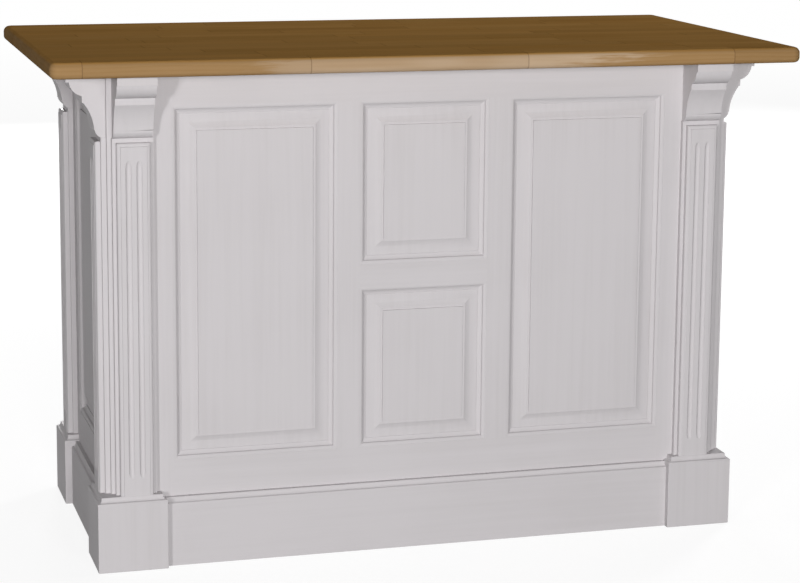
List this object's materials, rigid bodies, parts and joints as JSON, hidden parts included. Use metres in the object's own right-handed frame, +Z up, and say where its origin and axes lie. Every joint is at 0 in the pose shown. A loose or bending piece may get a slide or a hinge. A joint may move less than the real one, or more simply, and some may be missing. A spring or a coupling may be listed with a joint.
{
  "type": "kitchen island unit",
  "caption": "Free-standing kitchen island with a pine worktop, raised-panel sides, fluted pilasters and corbels; doors and drawers behind.",
  "frame": {"origin": "centre of the bounding box at floor level", "axes": "+X along the length to the right as seen from the panelled front, +Y from the panelled front to the side with the doors and drawers, +Z up"},
  "size_m": [1.356, 0.714, 0.91],
  "materials": {
    "grey_paint": "satin grey-white paint over timber",
    "stained_pine": "brown stained and waxed pine boards with a honey edge",
    "bare_pine": "plain planed pine",
    "turned_pine": "turned and waxed pine",
    "plated_steel": "zinc plated steel"
  },
  "bodies": {
    "carcass": {"worktop": "stained_pine", "front_left_post": "grey_paint", "front_right_post": "grey_paint", "rear_left_post": "grey_paint", "rear_right_post": "grey_paint", "front_left_plinth_block": "grey_paint", "front_right_plinth_block": "grey_paint", "rear_left_plinth_block": "grey_paint", "rear_right_plinth_block": "grey_paint", "front_plinth_board": "grey_paint", "rear_plinth_board": "grey_paint", "left_plinth_board": "grey_paint", "right_plinth_board": "grey_paint", "front_left_pilasters": "grey_paint", "front_right_pilasters": "grey_paint", "rear_left_pilasters": "grey_paint", "rear_right_pilasters": "grey_paint", "front_left_corbels": "grey_paint", "front_right_corbels": "grey_paint", "rear_left_corbels": "grey_paint", "rear_right_corbels": "grey_paint", "front_stiles": "grey_paint", "front_rails": "grey_paint", "front_mullions": "grey_paint", "front_left_panel": "grey_paint", "front_right_panel": "grey_paint", "front_upper_panel": "grey_paint", "front_lower_panel": "grey_paint", "left_side_frame": "grey_paint", "left_side_panel": "grey_paint", "right_side_frame": "grey_paint", "right_side_panel": "grey_paint", "rear_face_frame": "grey_paint", "cabinet_floor": "bare_pine", "partitions": "bare_pine", "shelves": "bare_pine", "shelf_pins": "plated_steel", "worktop_battens": "bare_pine", "worktop_screws": "plated_steel", "drawer_runners": "bare_pine", "door_catches": "plated_steel", "hinge_frame_leaves": "plated_steel", "hinge_pins": "plated_steel"},
    "left_door": {"left_door_frame": "grey_paint", "left_door_panel": "grey_paint", "left_door_knob": "turned_pine", "left_door_fittings": "plated_steel"},
    "right_door": {"right_door_frame": "grey_paint", "right_door_panel": "grey_paint", "right_door_knob": "turned_pine", "right_door_fittings": "plated_steel"},
    "top_drawer": {"top_drawer_front": "grey_paint", "top_drawer_box": "bare_pine", "top_drawer_knob": "turned_pine"},
    "middle_drawer": {"middle_drawer_front": "grey_paint", "middle_drawer_box": "bare_pine", "middle_drawer_knob": "turned_pine"},
    "bottom_drawer": {"bottom_drawer_front": "grey_paint", "bottom_drawer_box": "bare_pine", "bottom_drawer_knob": "turned_pine"}
  },
  "joints": [
    {"name": "left_door_hinge", "type": "hinge", "parent": "carcass", "child": "left_door", "pos_m": [-0.4558, 0.2527, 0.505], "axis": [0, 0, 1], "range_deg": [0, 105]},
    {"name": "right_door_hinge", "type": "hinge", "parent": "carcass", "child": "right_door", "pos_m": [0.4558, 0.2527, 0.505], "axis": [0, 0, -1], "range_deg": [0, 105]},
    {"name": "top_drawer_slide", "type": "slide", "parent": "carcass", "child": "top_drawer", "axis": [0, 1, 0], "range_m": [0, 0.32]},
    {"name": "middle_drawer_slide", "type": "slide", "parent": "carcass", "child": "middle_drawer", "axis": [0, 1, 0], "range_m": [0, 0.32]},
    {"name": "bottom_drawer_slide", "type": "slide", "parent": "carcass", "child": "bottom_drawer", "axis": [0, 1, 0], "range_m": [0, 0.32]}
  ]
}
